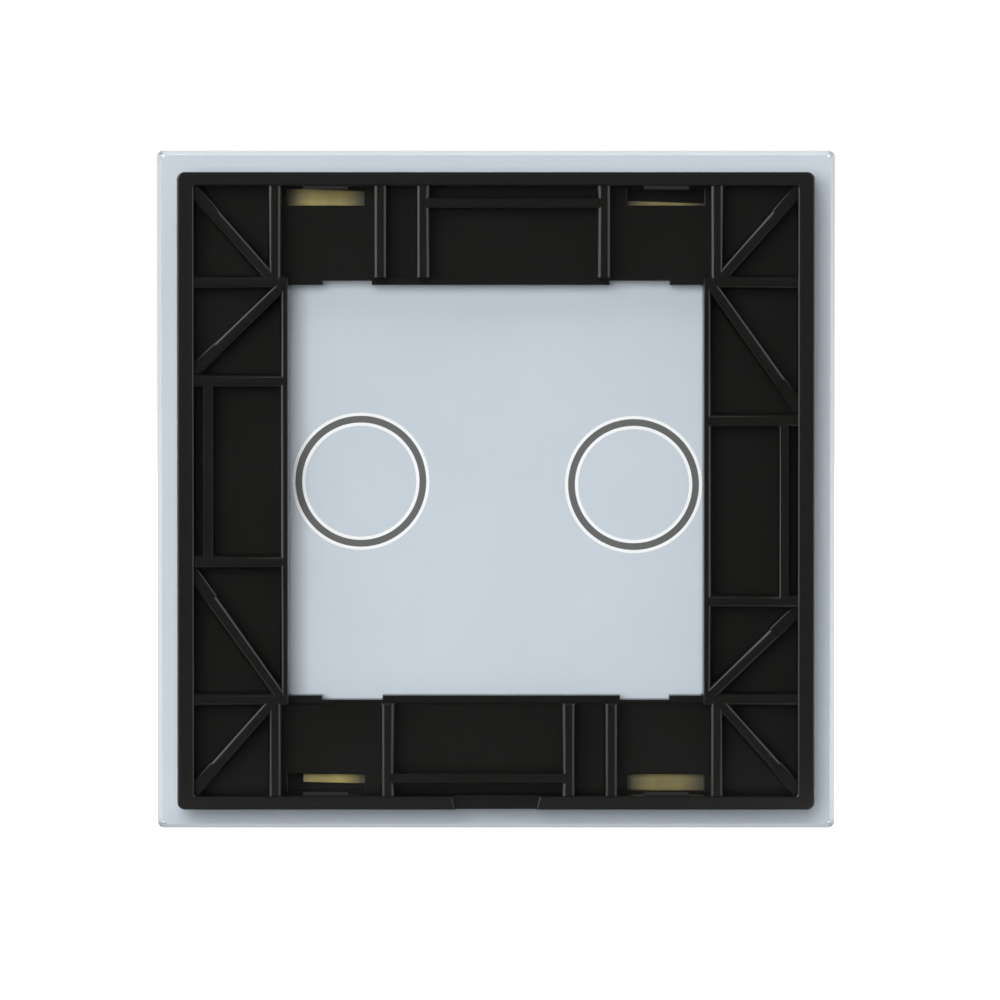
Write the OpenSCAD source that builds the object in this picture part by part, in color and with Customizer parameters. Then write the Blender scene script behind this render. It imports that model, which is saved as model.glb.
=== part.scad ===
// Front panel of a two-gang touch light switch: a back-painted glass plate on a ribbed carrier frame.
// The rear view looks along +Y with +X to the right and +Z up. The touch face looks towards +Y.
// The origin is the centre of the glass, on the back of its colour coat, where the switch module seats.
// Depths named "back" are distances behind the origin, towards -Y.

/* [Glass] */
// Side of the square glass plate
glass_side = 80; // [79:0.5:90]
// Thickness of the glass plate
glass_t = 4; // [3:0.5:6]
// Width of the ground arris around both faces of the glass
arris_w = 0.5; // [0.2:0.1:1]
// Radius of the four glass corners
glass_corner_r = 0.8; // [0.3:0.1:2]

/* [Prints on the back of the glass] */
// Thickness of each printed layer
print_t = 0.1; // [0.05:0.01:0.2]
// Radius of the middle of a touch ring's dark stroke
ring_r = 7.33; // [6:0.1:8]
// Width of the dark stroke
ring_stroke = 0.8; // [0.4:0.1:1.5]
// Width of the white outline on each side of the stroke
outline_w = 0.38; // [0.2:0.02:0.8]
// Distance between the two ring centres
ring_pitch = 32.2; // [28:0.1:34]
// Height of the rings above the middle of the glass
ring_rise = 0.8; // [0:0.1:2]
// How far the ring print sits to the right of the middle
ring_shift = 0.15; // [0:0.05:0.5]
// How far the ring print is turned clockwise in the rear view, in degrees
ring_tilt = 0.7; // [0:0.1:1.5]
// Clearance around the black mask, inside the frame's feet
mask_clear = 0.2; // [0.1:0.1:1]

/* [Adhesive strips] */
// Thickness of the double-sided strips
tape_t = 0.5; // [0.2:0.1:1]
// Clearance between a long strip's nearest corner and the outer wall
tape_clear = 0.15; // [0.1:0.05:0.5]
// Clearance between the top strip's nearest corner and the window's feet
tape_foot_clear = 1.6; // [0.5:0.1:3]
// How far the long strips' ends stay from the side walls
tape_end_gap = 7.6; // [4:0.2:10]
// How far the bottom strip's short end stays from the left wall
bottom_tape_end_gap = 12.65; // [10:0.05:16]
// How far the hand-laid top strip is turned clockwise, in degrees
top_tape_tilt = 2.1; // [0:0.1:2.6]
// How far the hand-laid bottom strip is turned clockwise, in degrees
bottom_tape_tilt = 1.3; // [0:0.1:2.6]
// How far the side strips stay short of the window's height at each end
side_tape_short = 1.2; // [0:0.1:5]

/* [Carrier frame] */
// How far the glass stands out past the frame on each side
glass_overhang = 2.6; // [1.5:0.05:3]
// Radius of the frame's outer corners
frame_corner_r = 0.9; // [0.5:0.1:3]
// Radius of the corners inside the outer wall and of the window
inner_corner_r = 0.3; // [0.1:0.1:0.6]
// Depth of the frame, from its feet on the glass to its rim
frame_depth = 7; // [6.5:0.1:9]
// Thickness of the outer wall above and below the window
wall_t = 1.6; // [1.2:0.1:2]
// Thickness of the outer wall at the sides
side_wall_t = 2; // [1.6:0.1:2.2]
// Thickness of the floor between the ribs
floor_t = 1.5; // [1:0.1:1.9]
// How far the ribs stay below the rim
rib_drop = 0.5; // [0.2:0.1:1]
// Width of the ribs
rib_w = 1.6; // [1.2:0.1:1.8]

/* [Window] */
// Width of the window for the switch module
window_w = 48.7; // [46:0.1:50]
// Height of the window for the switch module
window_h = 48.3; // [46:0.1:50]
// Width of the full-height wall along each side of the window
side_rib_w = 1; // [0.6:0.1:1.3]
// Width of the low lip above and below the window
lip_w = 0.9; // [0.6:0.1:1.2]
// Height of the low lip above the floor
lip_h = 1; // [0.5:0.1:2]
// Depth of the notches in the window's top and bottom edges
notch_d = 0.5; // [0.2:0.1:0.6]
// Distance from the window's middle to the narrow notch's middle
narrow_notch_x = 17.5; // [15:0.1:20]
// Width of the narrow notch
narrow_notch_w = 5.8; // [4:0.1:7]
// Distance from the window's middle to the wide notch's middle
wide_notch_x = 16.9; // [15:0.1:20]
// Width of the wide notch
wide_notch_w = 7.1; // [4:0.1:7.5]

/* [Rib layout] */
// How far the corner ribs' middles stand outside the window's sides
corner_rib_out = 1.6; // [1.5:0.05:2.5]
// How far the corner ribs' middles stand above the window's top edge
corner_rib_up = 0.35; // [0.2:0.05:1.5]
// Distance from the middle to the outer rib of the narrow channel
outer_rib_x = 13.55; // [12:0.05:15]
// Distance from the middle to the inner rib of the narrow channel
inner_rib_x = 8.55; // [6:0.1:9.5]
// Distance from the middle to the rib at the far end of the clip slot
far_rib_x = 12.7; // [11:0.05:14]
// Distance from the middle to the side channel's rib at the slot's corner end
side_rib_high = 12.95; // [11:0.05:15]
// Distance from the middle to the side channel's rib at the slot's other end
side_rib_low = 8.3; // [6:0.05:10]
// How far the corner diagonals meet the outer walls off the corner
corner_diagonal_drop = 0.1; // [0:0.1:2]
// How far the side diagonals leave the corner ribs' crossing, towards the side's middle
side_diagonal_drop = 1.3; // [0:0.1:2]
// How far the side diagonals run on into the crossing
side_diagonal_root = 1.2; // [0.6:0.1:1.3]
// Length over which a diagonal rib is lower, up to the middle of the outer wall
diagonal_low_len = 5.5; // [2:0.1:8]
// How far a diagonal rib steps down there
diagonal_step_drop = 1; // [0.4:0.1:2]

/* [Clip slots, hooks and pry notch] */
// Clear width of the clip slots along the top and bottom walls
clip_slot_w = 1.4; // [1:0.05:1.6]
// Clear width of the clip slots along the side walls
side_clip_slot_w = 1; // [0.8:0.05:1.2]
// Width of the slot ribs
slot_rib_w = 1.25; // [0.8:0.05:1.4]
// Distance from the middle of a side to its hooks
hook_x = 20; // [18:0.1:21]
// Length of a hook along the wall
hook_len = 5.3; // [4:0.1:7]
// How far a hook stands in from the wall
hook_reach = 0.5; // [0.3:0.1:0.9]
// Height of a hook's lead-in slope
hook_lead = 0.4; // [0.2:0.1:1.6]
// Height of the small slope under a hook
hook_back = 0.3; // [0.2:0.1:0.5]
// How far a hook starts below the rim
hook_drop = 0.4; // [0.2:0.1:0.8]
// Length of the moulding slot in the floor under each hook
hook_slot_len = 9; // [7.5:0.1:10]
// Width of the moulding slot
hook_slot_w = 1.95; // [1.2:0.05:2.2]
// Distance from the outer wall to the moulding slot
hook_slot_in = 0.35; // [0.2:0.05:0.8]
// Length of the pry notch in the bottom wall, at its outer side
pry_len = 9.4; // [7:0.1:12]
// How much longer the notch is at its inner side, at each end
pry_flare = 0.4; // [0:0.1:1]
// Depth of the pry notch below the rim
pry_d = 1.5; // [0.8:0.1:2.5]

/* [Hidden] */

$fn = 64;

// How far cutting shapes run past what they cut
over = 1;

// Depths behind the origin, from the back of the colour coat to the frame's rim
coat_back = 0;
mask_back = coat_back + print_t;
tape_back = mask_back + tape_t;
floor_back = tape_back + floor_t;
rim_back = coat_back + frame_depth;
rib_back = rim_back - rib_drop;
glass_back = coat_back - print_t;

// Lines of the frame's plan, measured from its centre
frame_half = glass_side / 2 - glass_overhang;
wall_in = frame_half - wall_t;
wall_mid = frame_half - wall_t / 2;
side_wall_in = frame_half - side_wall_t;
pocket_w = wall_in - max(window_w / 2 + side_rib_w, window_h / 2 + lip_w);
tape_reach = side_wall_in - tape_end_gap;
bottom_tape_reach = side_wall_in - bottom_tape_end_gap;
tape_w = pocket_w - tape_clear - tape_foot_clear - 2 * tape_reach * sin(top_tape_tilt);
corner_x = window_w / 2 + corner_rib_out;
corner_z = window_h / 2 + corner_rib_up;
slot_rib_mid = wall_in - clip_slot_w - slot_rib_w / 2;
side_slot_rib_mid = side_wall_in - side_clip_slot_w - slot_rib_w / 2;

// The two ring centres, turned together about the middle of the glass
function ring_centre(side) =
    [ring_shift + side * ring_pitch / 2 * cos(ring_tilt),
     ring_rise - side * ring_pitch / 2 * sin(ring_tilt)];

// A plan drawn in X and Z, made solid from one distance behind the origin to another
module layer(from, to) {
    translate([0, -from, 0])
        rotate([90, 0, 0])
            linear_extrude(to - from)
                children();
}

module rounded_plan(width, height, r) {
    square([width - 2 * r, height], center = true);
    square([width, height - 2 * r], center = true);
    for (x = [-1, 1], z = [-1, 1])
        translate([x * (width / 2 - r), z * (height / 2 - r)])
            circle(r);
}

module square_plan(half, r) {
    rounded_plan(2 * half, 2 * half, r);
}

module window_plan() {
    rounded_plan(window_w, window_h, inner_corner_r);
}

// The window with the feet around it, and a clearance outside them
module feet_plan(clear) {
    rounded_plan(window_w + 2 * (side_rib_w + clear), window_h + 2 * (lip_w + clear), inner_corner_r);
}

module frame_plan() {
    square_plan(frame_half, frame_corner_r);
}

// The space inside the outer wall, less a clearance
module cavity_plan(clear) {
    rounded_plan(2 * (side_wall_in - clear), 2 * (wall_in - clear), inner_corner_r);
}

// The shape and its copy turned half a turn, as the rib layout repeats
module both_halves() {
    for (turn = [0, 180])
        rotate(turn)
            children();
}

// A straight strip between two points
module strip(a, b, width) {
    run = b - a;
    translate(a)
        rotate(atan2(run.y, run.x))
            translate([0, -width / 2])
                square([norm(run), width]);
}

// Glass

// Outline of the plate's thickness with the arris cut off all four corners
module arris_profile() {
    half = glass_side / 2;
    touch_face = glass_t - glass_back;
    polygon([[-half, arris_w - glass_back], [arris_w - half, -glass_back],
             [half - arris_w, -glass_back], [half, arris_w - glass_back],
             [half, touch_face - arris_w], [half - arris_w, touch_face],
             [arris_w - half, touch_face], [-half, touch_face - arris_w]]);
}

module glass_plate() {
    color([0.74, 0.86, 0.88, 0.5])
        intersection() {
            layer(glass_back - glass_t, glass_back) square_plan(glass_side / 2, glass_corner_r);
            linear_extrude(glass_side, center = true) arris_profile();
            rotate([0, 90, 0]) linear_extrude(glass_side, center = true) arris_profile();
        }
}

module ring_band(side, inner, outer) {
    translate(ring_centre(side))
        difference() {
            circle(outer);
            circle(inner);
        }
}

module colour_coat() {
    color([0.78, 0.82, 0.86])
        layer(glass_back, coat_back)
            difference() {
                square_plan(glass_side / 2 - arris_w, glass_corner_r);
                for (side = [-1, 1])
                    ring_band(side, ring_r - ring_stroke / 2 - outline_w, ring_r + ring_stroke / 2 + outline_w);
            }
}

module touch_ring(side) {
    color([0.36, 0.37, 0.37])
        layer(glass_back, coat_back)
            ring_band(side, ring_r - ring_stroke / 2, ring_r + ring_stroke / 2);
}

module ring_outline(side) {
    color("white")
        layer(glass_back, coat_back) {
            ring_band(side, ring_r - ring_stroke / 2 - outline_w, ring_r - ring_stroke / 2);
            ring_band(side, ring_r + ring_stroke / 2, ring_r + ring_stroke / 2 + outline_w);
        }
}

module black_mask() {
    color([0.05, 0.05, 0.05])
        layer(coat_back, mask_back)
            difference() {
                cavity_plan(mask_clear);
                feet_plan(mask_clear);
            }
}

// Adhesive

// A strip that starts near the left end of the top wall and is turned clockwise about that corner
module long_strip(length, tilt) {
    color([0.58, 0.54, 0.35])
        layer(mask_back, tape_back)
            translate([-tape_reach, wall_in - tape_clear])
                rotate(-tilt)
                    translate([0, -tape_w])
                        square([length, tape_w]);
}

module top_adhesive_strip() {
    long_strip(2 * tape_reach, top_tape_tilt);
}

module bottom_adhesive_strip() {
    rotate([0, 180, 0])
        long_strip(tape_reach + bottom_tape_reach, bottom_tape_tilt);
}

// A strip halfway between the window's side wall and the outer wall
module side_adhesive_strip(side) {
    color([0.58, 0.54, 0.35])
        layer(mask_back, tape_back)
            translate([side * (window_w / 2 + side_rib_w + side_wall_in) / 2, 0])
                square([tape_w, window_h - 2 * side_tape_short], center = true);
}

// Frame

// Ribs of the top and left channels, which the other half of the frame repeats
module straight_ribs() {
    strip([-corner_x, corner_z], [-corner_x, wall_mid], rib_w);
    for (x = [-outer_rib_x, -inner_rib_x, far_rib_x])
        strip([x, window_h / 2 + lip_w], [x, wall_mid], rib_w);
    strip([-window_w / 2, -corner_z], [-wall_mid, -corner_z], rib_w);
    for (z = [-side_rib_low, side_rib_high, corner_z])
        strip([-window_w / 2, z], [-wall_mid, z], rib_w);
    strip([corner_x, corner_z], [corner_x, wall_mid], rib_w);
    strip([-inner_rib_x, slot_rib_mid], [far_rib_x, slot_rib_mid], slot_rib_w);
    strip([-side_slot_rib_mid, -side_rib_low], [-side_slot_rib_mid, side_rib_high], slot_rib_w);
}

// A rib from a crossing to the outer wall, begun some way back and stopped some way before its end
module diagonal_rib(a, b, before_end, root = 0) {
    way = (b - a) / norm(b - a);
    strip(a - way * root, b - way * before_end, rib_w);
}

module diagonal_ribs(before_end) {
    for (end = [-1, 1])
        diagonal_rib([-corner_x, end * corner_z],
                     [-wall_mid, end * (wall_mid - corner_diagonal_drop)], before_end);
    diagonal_rib([-corner_x, corner_z - side_diagonal_drop], [-wall_mid, side_rib_high],
                 before_end, side_diagonal_root);
    diagonal_rib([-corner_x, side_diagonal_drop - corner_z], [-wall_mid, -side_rib_low],
                 before_end, side_diagonal_root);
}

// Walls along both sides of the window, between its corner ribs
module window_side_walls() {
    for (side = [-1, 1])
        strip([side * (window_w + side_rib_w) / 2, -corner_z],
              [side * (window_w + side_rib_w) / 2, corner_z], side_rib_w);
}

module window_lips() {
    for (side = [-1, 1])
        strip([-corner_x, side * (window_h + lip_w) / 2],
              [corner_x, side * (window_h + lip_w) / 2], lip_w);
}

// Notches that reach out from the window's top edge
module window_notches() {
    strip([-narrow_notch_x, window_h / 2 - over], [-narrow_notch_x, window_h / 2 + notch_d], narrow_notch_w);
    strip([wide_notch_x, window_h / 2 - over], [wide_notch_x, window_h / 2 + notch_d], wide_notch_w);
}

// One hook in section: its lead-in, its tip and the small slope under it
module hook_section() {
    polygon([[-over / 2, 0], [0, 0], [hook_reach, hook_lead], [0, hook_lead + hook_back],
             [-over / 2, hook_lead + hook_back]]);
}

// A hook on the top wall, with its length along X
module hook(x) {
    translate([x + hook_len / 2, -rim_back + hook_drop, wall_in])
        rotate([0, -90, 0])
            linear_extrude(hook_len)
                mirror([1, 0])
                    hook_section();
}

module hook_slot_plan(x) {
    translate([x, wall_in - hook_slot_in - hook_slot_w / 2])
        square([hook_slot_len, hook_slot_w], center = true);
}

module pry_notch_plan() {
    polygon([[-pry_len / 2, -frame_half], [pry_len / 2, -frame_half],
             [pry_len / 2 + pry_flare, -wall_in], [-pry_len / 2 - pry_flare, -wall_in]]);
    translate([-pry_len / 2, -frame_half - over])
        square([pry_len, over]);
}

module frame_body() {
    layer(tape_back, floor_back)
        difference() {
            frame_plan();
            window_plan();
        }
    layer(coat_back, rim_back)
        difference() {
            frame_plan();
            cavity_plan(0);
        }
    layer(coat_back, floor_back)
        difference() {
            feet_plan(0);
            window_plan();
        }
    layer(tape_back, rib_back)
        difference() {
            union() {
                both_halves() straight_ribs();
                window_side_walls();
            }
            window_plan();
        }
    layer(tape_back, rib_back - diagonal_step_drop)
        both_halves() diagonal_ribs(0);
    layer(tape_back, rib_back)
        both_halves() diagonal_ribs(diagonal_low_len);
    layer(tape_back, floor_back + lip_h)
        window_lips();
    for (turn = [0, 180], x = [-hook_x, hook_x])
        rotate([0, turn, 0])
            hook(x);
}

module carrier_frame() {
    color([0.11, 0.11, 0.1])
        difference() {
            frame_body();
            layer(coat_back - over, floor_back + over)
                both_halves()
                    for (x = [-hook_x, hook_x])
                        hook_slot_plan(x);
            layer(coat_back - over, rim_back + over)
                both_halves() window_notches();
            layer(rim_back - pry_d, rim_back + over)
                pry_notch_plan();
        }
}

glass_plate();
colour_coat();
black_mask();
touch_ring(-1);  // left_touch_ring
touch_ring(1);  // right_touch_ring
ring_outline(-1);  // left_ring_outline
ring_outline(1);  // right_ring_outline
top_adhesive_strip();
bottom_adhesive_strip();
side_adhesive_strip(-1);  // left_adhesive_strip
side_adhesive_strip(1);  // right_adhesive_strip
carrier_frame();
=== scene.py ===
"""Looks of the front panel of a two-gang touch light switch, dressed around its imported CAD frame.

The rear view looks along +Y, as in the photograph. All lengths are in metres.
"""

import math

import bmesh
import bpy
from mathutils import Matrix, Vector


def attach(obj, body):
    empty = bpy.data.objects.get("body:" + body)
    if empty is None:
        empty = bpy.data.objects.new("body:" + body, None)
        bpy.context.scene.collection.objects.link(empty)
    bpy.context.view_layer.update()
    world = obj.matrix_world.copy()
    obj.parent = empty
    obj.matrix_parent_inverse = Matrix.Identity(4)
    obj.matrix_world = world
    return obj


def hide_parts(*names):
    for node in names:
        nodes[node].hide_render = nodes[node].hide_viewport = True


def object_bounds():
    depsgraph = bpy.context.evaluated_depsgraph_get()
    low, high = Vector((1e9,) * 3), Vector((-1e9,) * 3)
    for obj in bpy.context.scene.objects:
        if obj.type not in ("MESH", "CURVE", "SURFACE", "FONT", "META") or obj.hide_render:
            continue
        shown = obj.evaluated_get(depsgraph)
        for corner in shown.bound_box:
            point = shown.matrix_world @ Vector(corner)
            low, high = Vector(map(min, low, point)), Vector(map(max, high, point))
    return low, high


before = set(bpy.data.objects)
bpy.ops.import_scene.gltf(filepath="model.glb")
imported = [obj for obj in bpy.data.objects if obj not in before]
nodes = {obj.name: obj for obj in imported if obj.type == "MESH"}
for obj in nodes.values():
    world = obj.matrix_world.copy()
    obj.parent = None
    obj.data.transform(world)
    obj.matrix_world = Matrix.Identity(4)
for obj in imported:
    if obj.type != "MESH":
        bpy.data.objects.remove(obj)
cad_low, cad_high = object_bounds()
scene = bpy.context.scene
scene.view_settings.view_transform = "Standard"

MM = 0.001

# Depths of the rim, the ribs and the diagonal ribs' low ends behind the printed back of the glass
RIM_DEPTH = -cad_low.y
RIB_DEPTH = RIM_DEPTH - 0.5 * MM
LOW_END_DEPTH = RIB_DEPTH - 1.0 * MM
# Edges at less than this depth are on the moulding's underside
UNDERSIDE_DEPTH = 0.65 * MM

# Distance along X of the moulding slots' and hooks' middles from the middle of the part
SLOT_MIDDLE = 20 * MM
# Half the length of a hook
HOOK_HALF = 2.65 * MM
# Depth at which the hooks end towards the glass
HOOK_DEPTH = RIM_DEPTH - 1.1 * MM
# Distance of the hooks' walls from the middle of the part, at their inner faces
WALL_INSIDE = 35.8 * MM
# Distance of the hooks' tips from the middle of the part
HOOK_TIP = WALL_INSIDE - 0.5 * MM

# Width of the ground arris around the glass
ARRIS = 0.5 * MM

# Length over which one look of a material passes into another
SOFT = 0.05 * MM


# Helpers for node materials


def new_material(name):
    """A material whose tree holds only its output. Gives the material, the tree and the output."""
    material = bpy.data.materials.new(name)
    material.use_nodes = True
    tree = material.node_tree
    tree.nodes.clear()
    out = tree.nodes.new("ShaderNodeOutputMaterial")
    return material, tree, out


def link(tree, source, target):
    tree.links.new(source, target)


def position(tree, kind="Object"):
    """Where a point lies: the X, Y and Z sockets of a kind of texture coordinates."""
    place = tree.nodes.new("ShaderNodeTexCoord")
    parts = tree.nodes.new("ShaderNodeSeparateXYZ")
    link(tree, place.outputs[kind], parts.inputs["Vector"])
    return parts.outputs


def noise(tree, size, detail, roughness=0.5, stretch=(1, 1, 1)):
    """Noise whose blobs are about size metres across, fixed to the object. Gives its value socket."""
    place = tree.nodes.new("ShaderNodeTexCoord")
    scale = tree.nodes.new("ShaderNodeMapping")
    scale.inputs["Scale"].default_value = [share / size for share in stretch]
    field = tree.nodes.new("ShaderNodeTexNoise")
    field.inputs["Scale"].default_value = 1.0
    field.inputs["Detail"].default_value = detail
    field.inputs["Roughness"].default_value = roughness
    link(tree, place.outputs["Object"], scale.inputs["Vector"])
    link(tree, scale.outputs["Vector"], field.inputs["Vector"])
    return field.outputs["Fac"]


def ramp(tree, value, low, high, from_low=0.3, from_high=0.7):
    """Maps a value socket onto a range of numbers. Noise lies mostly between 0.3 and 0.7."""
    node = tree.nodes.new("ShaderNodeMapRange")
    node.inputs["From Min"].default_value = from_low
    node.inputs["From Max"].default_value = from_high
    node.inputs["To Min"].default_value = low
    node.inputs["To Max"].default_value = high
    link(tree, value, node.inputs["Value"])
    return node.outputs["Result"]


def math_node(tree, operation, *values):
    """A math node on sockets or numbers."""
    node = tree.nodes.new("ShaderNodeMath")
    node.operation = operation
    for socket, value in zip(node.inputs, values):
        if isinstance(value, float):
            socket.default_value = value
        else:
            link(tree, value, socket)
    return node.outputs[0]


def absolute(tree, value):
    return math_node(tree, "ABSOLUTE", value)


def combine(tree, operation, first, *others):
    """Joins sockets, one after another, by the same operation."""
    for other in others:
        first = math_node(tree, operation, first, other)
    return first


def blend_colours(tree, factor, first, second):
    node = tree.nodes.new("ShaderNodeMix")
    node.data_type = "RGBA"
    for socket in node.inputs:
        if socket.type == "RGBA":
            colour = first if socket.name == "A" else second
            socket.default_value = (*colour, 1)
    link(tree, factor, node.inputs["Factor"])
    return next(socket for socket in node.outputs if socket.type == "RGBA")


def bump(tree, height, distance, strength, normal=None):
    node = tree.nodes.new("ShaderNodeBump")
    node.inputs["Strength"].default_value = strength
    node.inputs["Distance"].default_value = distance
    link(tree, height, node.inputs["Height"])
    if normal is not None:
        link(tree, normal, node.inputs["Normal"])
    return node.outputs["Normal"]


def linear(red, green, blue):
    """A colour of the screen, 0 to 255, as scene light, by the sRGB curve."""
    return tuple(
        level / 255 / 12.92 if level <= 10 else ((level / 255 + 0.055) / 1.055) ** 2.4
        for level in (red, green, blue)
    )


def opaque_surface(tree, out, colour, roughness, normal=None):
    """Gives a material its colour and roughness, and its fine relief where it has one."""
    shader = tree.nodes.new("ShaderNodeBsdfPrincipled")
    link(tree, colour, shader.inputs["Base Color"])
    link(tree, roughness, shader.inputs["Roughness"])
    if normal is not None:
        link(tree, normal, shader.inputs["Normal"])
    link(tree, shader.outputs["BSDF"], out.inputs["Surface"])


# Materials


def off_slot(tree, across):
    """Distance along X from the middle of the nearest moulding slot."""
    side = absolute(tree, across)
    return absolute(tree, math_node(tree, "SUBTRACT", side, SLOT_MIDDLE))


def hook_painted_highlight_share(tree, place):
    """1 on the hooks and 0 elsewhere: where the plastic gets its painted highlight."""
    height = absolute(tree, place["Z"])
    along = ramp(tree, off_slot(tree, place["X"]), 1, 0, HOOK_HALF, HOOK_HALF + SOFT)
    past_tip = ramp(tree, height, 0, 1, HOOK_TIP - 2 * SOFT, HOOK_TIP - SOFT)
    short_of_wall = ramp(tree, height, 1, 0, WALL_INSIDE - 2 * SOFT, WALL_INSIDE - SOFT)
    deep = ramp(tree, place["Y"], 1, 0, SOFT - HOOK_DEPTH, 2 * SOFT - HOOK_DEPTH)
    return combine(tree, "MULTIPLY", along, past_tip, short_of_wall, deep)


def moulded_plastic():
    """Black plastic with a random cloudy tone and painted light: a little lighter on the rim and lighter
    still on the hooks, where light catches them.
    """
    material, tree, out = new_material("black_moulded_plastic")
    cloud = noise(tree, size=9 * MM, detail=2.0)
    grain = noise(tree, size=0.22 * MM, detail=2.0)
    wave = noise(tree, size=3.2 * MM, detail=1.0)
    place = position(tree)
    clouded = ramp(tree, cloud, 0, 0.073)
    # Painted light: the rim is made lighter because its top catches more light than the floors. The hooks
    # are lighter still, as a painted highlight on their sloping tips. The clouds are random tone.
    rim = ramp(tree, place["Y"], 0.155, 0, 2 * SOFT - RIM_DEPTH, -2 * SOFT - RIB_DEPTH)
    tone_and_painted_light = combine(tree, "MAXIMUM", clouded, rim, hook_painted_highlight_share(tree, place))
    colour = blend_colours(tree, tone_and_painted_light, linear(17, 17, 15), linear(43, 43, 44))
    roughness = ramp(tree, grain, 0.21, 0.27)
    slow = bump(tree, wave, distance=0.05 * MM, strength=0.3)
    fine = bump(tree, grain, distance=0.004 * MM, strength=0.2, normal=slow)
    opaque_surface(tree, out, colour, roughness, fine)
    return material


def painted_coat():
    material, tree, out = new_material("blue_grey_enamel")
    cloud = noise(tree, size=14 * MM, detail=3.0)
    grain = noise(tree, size=0.16 * MM, detail=2.0)
    colour = blend_colours(tree, ramp(tree, cloud, 0, 1), linear(198, 208, 217), linear(202, 212, 221))
    roughness = ramp(tree, grain, 0.46, 0.58)
    relief = bump(tree, grain, distance=0.004 * MM, strength=0.5)
    opaque_surface(tree, out, colour, roughness, relief)
    return material


def flat_ink(name, dark, light, roughness):
    """Smooth print whose colour and roughness vary a little from grain to grain."""
    spread = 0.05
    material, tree, out = new_material(name)
    grain = noise(tree, size=0.2 * MM, detail=2.0)
    colour = blend_colours(tree, ramp(tree, grain, 0, 1), dark, light)
    opaque_surface(tree, out, colour, ramp(tree, grain, roughness - spread, roughness + spread))
    return material


def amber_adhesive():
    """Mottled amber, brightest under the middle of each moulding slot and duller on the right: painted
    shade towards the slots' ends, where their walls shade the tape, and on the right-hand strips.
    """
    material, tree, out = new_material("amber_adhesive")
    cloud = noise(tree, size=9 * MM, detail=1.0)
    mottle = noise(tree, size=1.3 * MM, detail=4.0, roughness=0.65, stretch=(0.5, 1, 1.6))
    grain = noise(tree, size=0.2 * MM, detail=2.0)
    across = position(tree)["X"]
    # Painted shade: the tape darkens away from the middle of each slot, as if shaded by the slot's ends,
    # and towards the right.
    painted_light_under_slot = ramp(tree, off_slot(tree, across), 1, 0.05, 1.6 * MM, 4.1 * MM)
    painted_shade_to_right = ramp(tree, across, 1, 0.6, -0.5 * SLOT_MIDDLE, 0.5 * SLOT_MIDDLE)
    clouded = ramp(tree, cloud, 0.7, 1, 0.4, 0.6)
    mottled = ramp(tree, mottle, 0.7, 1)
    tone_and_painted_shade = combine(tree, "MULTIPLY", painted_light_under_slot, painted_shade_to_right, clouded, mottled)
    colour = blend_colours(tree, tone_and_painted_shade, linear(62, 60, 50), linear(176, 162, 94))
    roughness = ramp(tree, mottle, 0.30, 0.55)
    relief = bump(tree, grain, distance=0.02 * MM, strength=0.6)
    opaque_surface(tree, out, colour, roughness, relief)
    return material


def float_glass():
    """Clear glass that lets lamps through, polished on its faces and frosted on its ground arris."""
    polished, frosted = 0.02, 0.40
    clear_tint, frosted_tint = (0.93, 0.98, 0.975), linear(138, 144, 151)
    shadow_tint = (0.95, 0.98, 0.975)
    flat_half = cad_high.x - ARRIS
    material, tree, out = new_material("float_glass")
    place = position(tree)
    off_middle = math_node(tree, "MAXIMUM", absolute(tree, place["X"]), absolute(tree, place["Z"]))
    arris = ramp(tree, off_middle, 0, 1, flat_half - SOFT, flat_half + SOFT)
    glass = tree.nodes.new("ShaderNodeBsdfPrincipled")
    glass.inputs["Transmission Weight"].default_value = 1.0
    glass.inputs["IOR"].default_value = 1.52
    link(tree, ramp(tree, arris, polished, frosted, 0, 1), glass.inputs["Roughness"])
    link(tree, blend_colours(tree, arris, clear_tint, frosted_tint), glass.inputs["Base Color"])
    clear = tree.nodes.new("ShaderNodeBsdfTransparent")
    clear.inputs["Color"].default_value = (*shadow_tint, 1)
    path = tree.nodes.new("ShaderNodeLightPath")
    mix = tree.nodes.new("ShaderNodeMixShader")
    link(tree, path.outputs["Is Shadow Ray"], mix.inputs[0])
    link(tree, glass.outputs["BSDF"], mix.inputs[1])
    link(tree, clear.outputs["BSDF"], mix.inputs[2])
    link(tree, mix.outputs["Shader"], out.inputs["Surface"])
    return material


def dress(names, material):
    """Gives one material to some of the frame's own pieces."""
    for name in names:
        node = nodes[name]
        node.data.materials.clear()
        node.data.materials.append(material)


dress(["colour_coat"], painted_coat())
# The black print is darker than the black plastic: print, plus painted shade where it shows through the
# slots as a dark hole.
dress(["black_mask"], flat_ink("black_print_with_painted_shade", linear(9, 9, 9), linear(13, 13, 13), roughness=0.5))
dress(["left_touch_ring", "right_touch_ring"],
      flat_ink("dark_ring_ink", linear(88, 90, 89), linear(96, 98, 97), roughness=0.45))
dress(["left_ring_outline", "right_ring_outline"],
      flat_ink("white_ring_ink", linear(246, 248, 250), linear(252, 253, 254), roughness=0.45))
dress(["top_adhesive_strip", "bottom_adhesive_strip", "left_adhesive_strip", "right_adhesive_strip"],
      amber_adhesive())
dress(["glass_plate"], float_glass())


# The moulding: the edges along the tops of its walls and ribs are rounded, as from a mould

RIB_WIDTH = 1.6 * MM
# Distances of edges from the middle of the part
WINDOW_SIDE = 24.35 * MM
SLOT_RIB_SIDES = (33.15 * MM, 34.40 * MM)

# Lengths that differ by less than this count as the same
SAME_LENGTH = 0.05 * MM
# Corners closer than this become one
SAME_CORNER = 0.001 * MM
# Faces that turn by less than this from each other become one
FLAT_TURN = math.radians(1)
# Edges that turn by less than this aren't rounded and are shaded smoothly
SHARP_TURN = math.radians(25)

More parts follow.
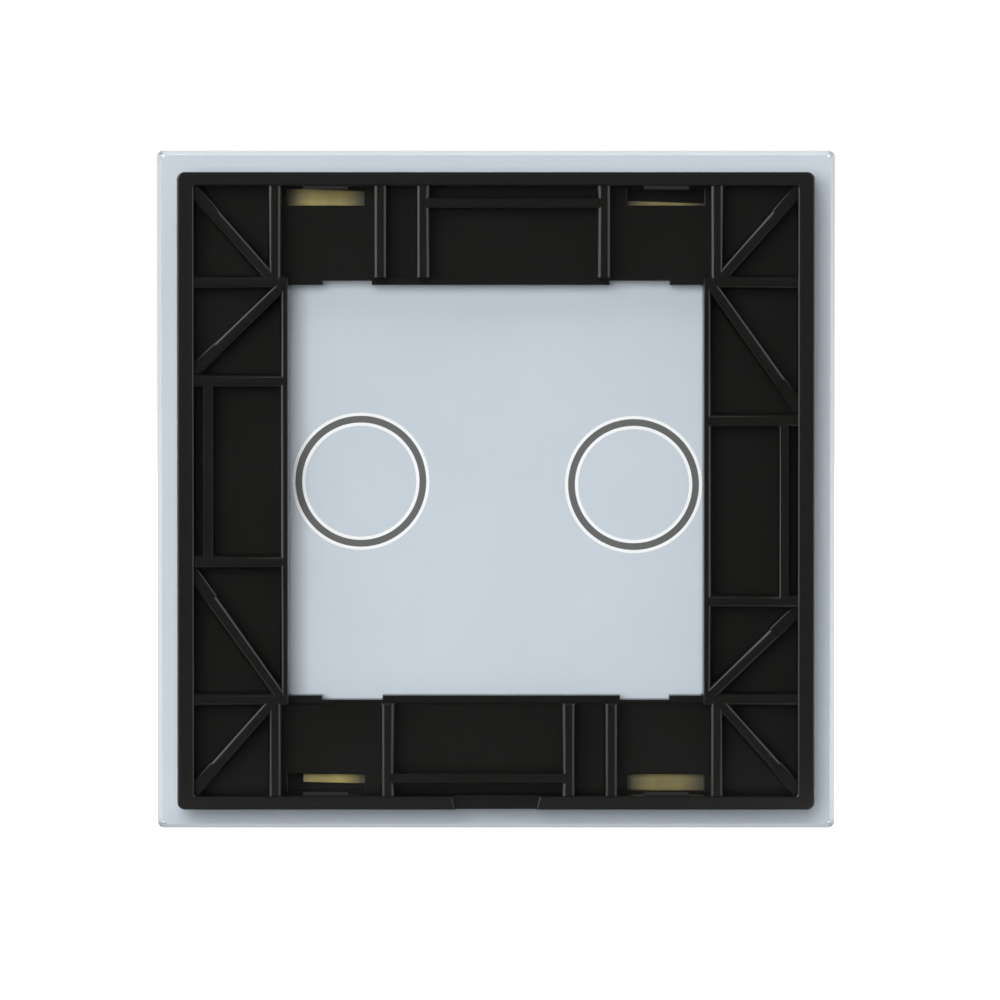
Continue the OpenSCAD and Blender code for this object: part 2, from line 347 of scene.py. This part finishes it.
# Widths of the rounding
RIB_ROUND = 0.50 * MM
RIM_ROUND = 0.25 * MM
LOW_END_ROUND = 0.25 * MM
SMALL_ROUND = 0.13 * MM
# Strips of faces across a rounded edge
ROUNDING_STEPS = 6


def near(one, other):
    return abs(one - other) < SAME_LENGTH


def lies_along(edge, distances):
    """Whether an edge runs upright or across at one of these distances from the middle."""
    return any(
        all(near(abs(corner.co[axis]), distance) for corner in edge.verts)
        for axis in (0, 2) for distance in distances
    )


def rounding(edge):
    """How wide an edge of the moulding is rounded: only outer edges that lie level, by their depth.

    The edges across a rib, at its ends and steps, stay sharp, as do those of the lip that end under
    a rib. The edges over the window's sides and those of the ribs along the clip slots are nearly
    sharp.
    """
    depth, other_depth = (-corner.co.y for corner in edge.verts)
    inner_or_flat = edge.calc_face_angle_signed(0) < SHARP_TURN
    if inner_or_flat or depth < UNDERSIDE_DEPTH or not near(depth, other_depth):
        return 0
    if near(depth, RIM_DEPTH):
        return RIM_ROUND
    if near(depth, LOW_END_DEPTH):
        return LOW_END_ROUND
    if near(depth, RIB_DEPTH):
        if near(edge.calc_length(), RIB_WIDTH):
            return 0
        nearly_sharp = lies_along(edge, (WINDOW_SIDE, *SLOT_RIB_SIDES))
        return SMALL_ROUND if nearly_sharp else RIB_ROUND
    spokes = [spoke for corner in edge.verts for spoke in corner.link_edges]
    under_rib = any(near(-end.co.y, RIB_DEPTH) for spoke in spokes for end in spoke.verts)
    return 0 if under_rib else SMALL_ROUND


def make_moulding(material):
    """The carrier frame's own shape with its edges rounded."""
    shape = bmesh.new()
    shape.from_mesh(nodes["carrier_frame"].data)
    bmesh.ops.remove_doubles(shape, verts=shape.verts, dist=SAME_CORNER)
    bmesh.ops.dissolve_limit(shape, angle_limit=FLAT_TURN, verts=shape.verts, edges=shape.edges)
    # An edge's weight is its share of the widest rounding
    weights = shape.edges.layers.float.new("bevel_weight_edge")
    for edge in shape.edges:
        edge[weights] = rounding(edge) / RIB_ROUND
    mesh = bpy.data.meshes.new("moulded_frame")
    shape.to_mesh(mesh)
    frame_piece = bpy.data.objects.new("moulded_frame", mesh)
    scene.collection.objects.link(frame_piece)
    bevel = frame_piece.modifiers.new("rounding", "BEVEL")
    bevel.width = RIB_ROUND
    bevel.segments = ROUNDING_STEPS
    bevel.limit_method = "WEIGHT"
    bevel.use_clamp_overlap = False
    # The rounded shape is read back, so that its sharp edges can be marked
    rounded = frame_piece.evaluated_get(bpy.context.evaluated_depsgraph_get())
    shape.clear()
    shape.from_mesh(rounded.to_mesh())
    for face in shape.faces:
        face.smooth = True
    for edge in shape.edges:
        edge.smooth = abs(edge.calc_face_angle_signed(0)) < SHARP_TURN
    frame_piece.modifiers.clear()
    shape.to_mesh(mesh)
    shape.free()
    mesh.materials.append(material)
    shade = frame_piece.modifiers.new("shading", "WEIGHTED_NORMAL")
    shade.keep_sharp = True
    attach(frame_piece, "root")
    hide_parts("carrier_frame")


make_moulding(moulded_plastic())


# Stage, lamps and camera

# Each lamp's name, place, width and height, radiance, and the kinds of ray that see it
LAMPS = (
    ("front_fill", (-0.24, -1.5, 0.20), (0.7, 0.7), 12.2, ("diffuse", "glass")),
    ("top_fill", (-0.1, -0.45, 0.85), (0.8, 0.5), 1.9, ("diffuse", "glass")),
    ("left_panel", (-0.85, -0.28, 0.40), (2.2, 1.2), 2.6, ("glossy", "glass")),
    ("right_panel", (0.88, -0.28, 0.35), (2.2, 1.3), 1.5, ("glossy", "glass")),
    ("touch_side", (0.5, 1.2, 0.9), (0.8, 0.8), 13.0, ("diffuse",)),
)


def background_share(tree, behind):
    """1 for the rays that show the white background: reflections show it only behind the object."""
    path = tree.nodes.new("ShaderNodeLightPath")
    direct = math_node(tree, "MAXIMUM", path.outputs["Is Camera Ray"], path.outputs["Is Transmission Ray"])
    mirrored = math_node(tree, "MULTIPLY", path.outputs["Is Glossy Ray"], behind)
    return math_node(tree, "MAXIMUM", direct, mirrored)


def white_stage_material():
    """Grey to the lamps, with a glow that makes it white where it is seen."""
    grey, glow_level = 0.5, 0.9
    # Reflections show more and more of the glow as Y rises from the first place to the second
    mirrored_from, mirrored_fully = 0, 0.3
    material, tree, out = new_material("white_floor")
    diffuse = tree.nodes.new("ShaderNodeBsdfDiffuse")
    diffuse.inputs["Color"].default_value = (grey, grey, grey, 1)
    glow = tree.nodes.new("ShaderNodeEmission")
    behind = ramp(tree, position(tree)["Y"], 0, 1, mirrored_from, mirrored_fully)
    level = math_node(tree, "MULTIPLY", background_share(tree, behind), glow_level)
    link(tree, level, glow.inputs["Strength"])
    both = tree.nodes.new("ShaderNodeAddShader")
    link(tree, diffuse.outputs["BSDF"], both.inputs[0])
    link(tree, glow.outputs["Emission"], both.inputs[1])
    link(tree, both.outputs["Shader"], out.inputs["Surface"])
    return material


def make_floor():
    """The floor ends a little before the object, so that the dark plastic doesn't mirror it."""
    side, front, back = 3.0, -0.05, 3.0
    level = cad_low.z
    mesh = bpy.data.meshes.new("floor")
    corners = [(-side, front, level), (side, front, level), (side, back, level), (-side, back, level)]
    mesh.from_pydata(corners, [], [(0, 1, 2, 3)])
    floor = bpy.data.objects.new("floor", mesh)
    floor.data.materials.append(white_stage_material())
    scene.collection.objects.link(floor)


def make_world():
    """White behind the object and wherever it is seen directly, and otherwise a dim studio."""
    dim, white = 0.06, 1.0
    # The studio turns from dim to white as a direction's Y rises from the first value to the second
    dim_until, white_from = -0.1, 0.5
    world = bpy.data.worlds.new("studio")
    world.use_nodes = True
    tree = world.node_tree
    tree.nodes.clear()
    out = tree.nodes.new("ShaderNodeOutputWorld")
    behind = ramp(tree, position(tree, "Generated")["Y"], 0, 1, dim_until, white_from)
    studio = ramp(tree, behind, dim, white, 0, 1)
    strength = math_node(tree, "MAXIMUM", studio, background_share(tree, behind))
    sky = tree.nodes.new("ShaderNodeBackground")
    sky.inputs["Color"].default_value = (1, 1, 1, 1)
    link(tree, strength, sky.inputs["Strength"])
    link(tree, sky.outputs["Background"], out.inputs["Surface"])
    scene.world = world


def aim(piece, place, target):
    """Puts a lamp or camera at a place and turns it towards its target."""
    piece.location = place
    piece.rotation_mode = "QUATERNION"
    piece.rotation_quaternion = (Vector(target) - Vector(place)).to_track_quat("-Z", "Y")


def softbox(name, place, size, radiance, seen_by):
    """An area lamp aimed at the object. At a radiance of 1 its own face would just look white.

    Only the kinds of ray in seen_by see it: diffuse, glossy, or glass for those that pass through.
    """
    width, height = size
    data = bpy.data.lights.new(name, "AREA")
    data.shape = "RECTANGLE"
    data.size = width
    data.size_y = height
    data.energy = radiance * math.pi * width * height
    lamp = bpy.data.objects.new(name, data)
    scene.collection.objects.link(lamp)
    aim(lamp, place, (0, 0, 0))
    lamp.visible_camera = False
    lamp.visible_diffuse = "diffuse" in seen_by
    lamp.visible_glossy = "glossy" in seen_by
    lamp.visible_transmission = "glass" in seen_by


def make_camera():
    """The photograph's view: from straight behind, a degree and a half above, through a long lens.

    The lens gives 8.47 pixels for each millimetre at the back of the glass.
    """
    distance = 1.0
    elevation = math.radians(1.55)
    target = Vector((0.48 * MM, 0, -1.22 * MM))
    back = Vector((0, -math.cos(elevation), math.sin(elevation)))
    data = bpy.data.cameras.new("camera")
    data.lens = 304.9
    data.sensor_width = 36
    data.clip_start = 0.01
    data.clip_end = 20
    camera = bpy.data.objects.new("camera", data)
    scene.collection.objects.link(camera)
    aim(camera, target + back * distance, target)
    scene.camera = camera


make_floor()
make_world()
for lamp in LAMPS:
    softbox(*lamp)
make_camera()
